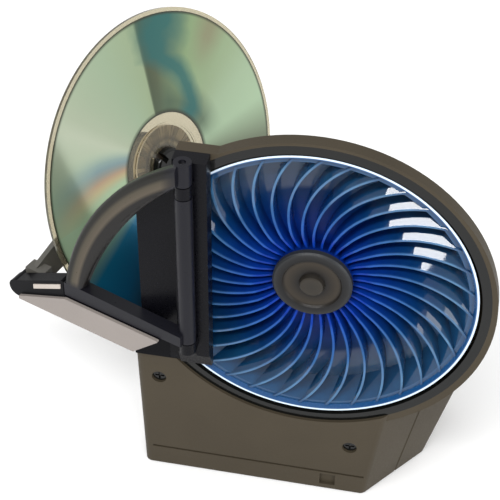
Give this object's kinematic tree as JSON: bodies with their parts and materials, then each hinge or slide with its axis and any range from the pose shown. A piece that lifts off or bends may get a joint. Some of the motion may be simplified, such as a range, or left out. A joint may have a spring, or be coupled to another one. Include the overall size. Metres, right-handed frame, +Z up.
{
  "type": "disc repair machine",
  "caption": "Desk-top disc repair machine: a vaned polishing wheel in a round housing window, a hinged arched door and a sliding carriage that holds the disc on its spindle.",
  "frame": {"origin": "on the table, straight below the wheel's axle, in the plane of the wheel's front rim", "axes": "+X to the machine's right, +Y to its back, +Z up"},
  "size_m": [0.1765, 0.1357, 0.1589],
  "materials": {
    "case_plastic": "fine matte, dark brown-grey",
    "dark_plastic": "satin blue-black",
    "gloss_black": "polished black",
    "steel": "plain ground steel",
    "soft_rubber": "matte black",
    "pan_metal": "satin dark grey paint",
    "bronze": "sintered bronze",
    "motor_can": "plated steel can",
    "belt_rubber": "matte black",
    "board_green": "lacquered board",
    "button_plastic": "satin blue",
    "pulley_plastic": "moulded off-white",
    "vane_blue": "translucent deep blue moulding",
    "rim_white": "satin white",
    "pad_fabric": "fine abrasive cloth",
    "cap_plastic": "satin dark grey-brown",
    "door_plastic": "satin dark brown-grey",
    "pale_grey": "satin light grey",
    "carriage_plastic": "satin dark grey",
    "disc_clear": "clear polycarbonate",
    "disc_mirror": "mirror with iridescent colours"
  },
  "bodies": {
    "housing": {"front_shell": "case_plastic", "rear_shell": "case_plastic", "window_bezel": "gloss_black", "hinge_column": "dark_plastic", "wheel_guard": "dark_plastic", "hinge_pin": "steel", "base_floor": "case_plastic", "feet": "soft_rubber", "case_screws": "steel", "wheel_pan": "pan_metal", "drive_plate": "pan_metal", "plate_screws": "steel", "front_bush": "bronze", "rear_bush": "bronze", "drive_motor": "motor_can", "motor_screws": "steel", "drive_belt": "belt_rubber", "control_board": "board_green", "board_screws": "steel", "start_switch": "gloss_black", "power_socket": "gloss_black", "tray": "door_plastic", "tray_fascia": "pale_grey", "toe_strip": "pale_grey", "guide_rail": "steel"},
    "wheel": {"flex_wheel": "vane_blue", "rim_band": "rim_white", "polishing_pad": "pad_fabric", "hub_cap": "cap_plastic", "wheel_axle": "steel", "wheel_pulley": "pulley_plastic", "axle_clip": "steel"},
    "motor_rotor": {"motor_shaft": "steel", "motor_pulley": "pulley_plastic"},
    "door": {"door_frame": "door_plastic"},
    "carriage": {"disc_carriage": "carriage_plastic"},
    "disc_spindle": {"spindle": "steel", "spindle_retainer": "steel", "disc_hub": "carriage_plastic", "spindle_cap": "gloss_black", "disc": "disc_clear", "disc_data_layer": "disc_mirror"},
    "button": {"start_button": "button_plastic"}
  },
  "joints": [
    {"name": "wheel_spin", "type": "hinge", "parent": "housing", "child": "wheel", "pos_m": [0, 0, 0.097], "axis": [0, 1, 0], "continuous": true},
    {"name": "motor_spin", "type": "hinge", "parent": "housing", "child": "motor_rotor", "pos_m": [0.004, 0, 0.04], "axis": [0, 1, 0], "continuous": true},
    {"name": "door_hinge", "type": "hinge", "parent": "housing", "child": "door", "pos_m": [-0.0405, -0.01, 0], "axis": [0, 0, 1], "range_deg": [0, 60]},
    {"name": "carriage_slide", "type": "slide", "parent": "housing", "child": "carriage", "axis": [0.9336, -0.3584, 0], "range_m": [0, 0.0392]},
    {"name": "disc_spin", "type": "hinge", "parent": "carriage", "child": "disc_spindle", "pos_m": [-0.0674, 0.068, 0.08995], "axis": [0.8487, -0.4493, 0.279], "continuous": true},
    {"name": "button_press", "type": "slide", "parent": "housing", "child": "button", "axis": [0, -1, 0], "range_m": [0, 0.0015], "stiffness_N_per_m": 600}
  ],
  "couplings": [
    {"joint": "motor_spin", "follows": "wheel_spin", "ratio": 4}
  ]
}
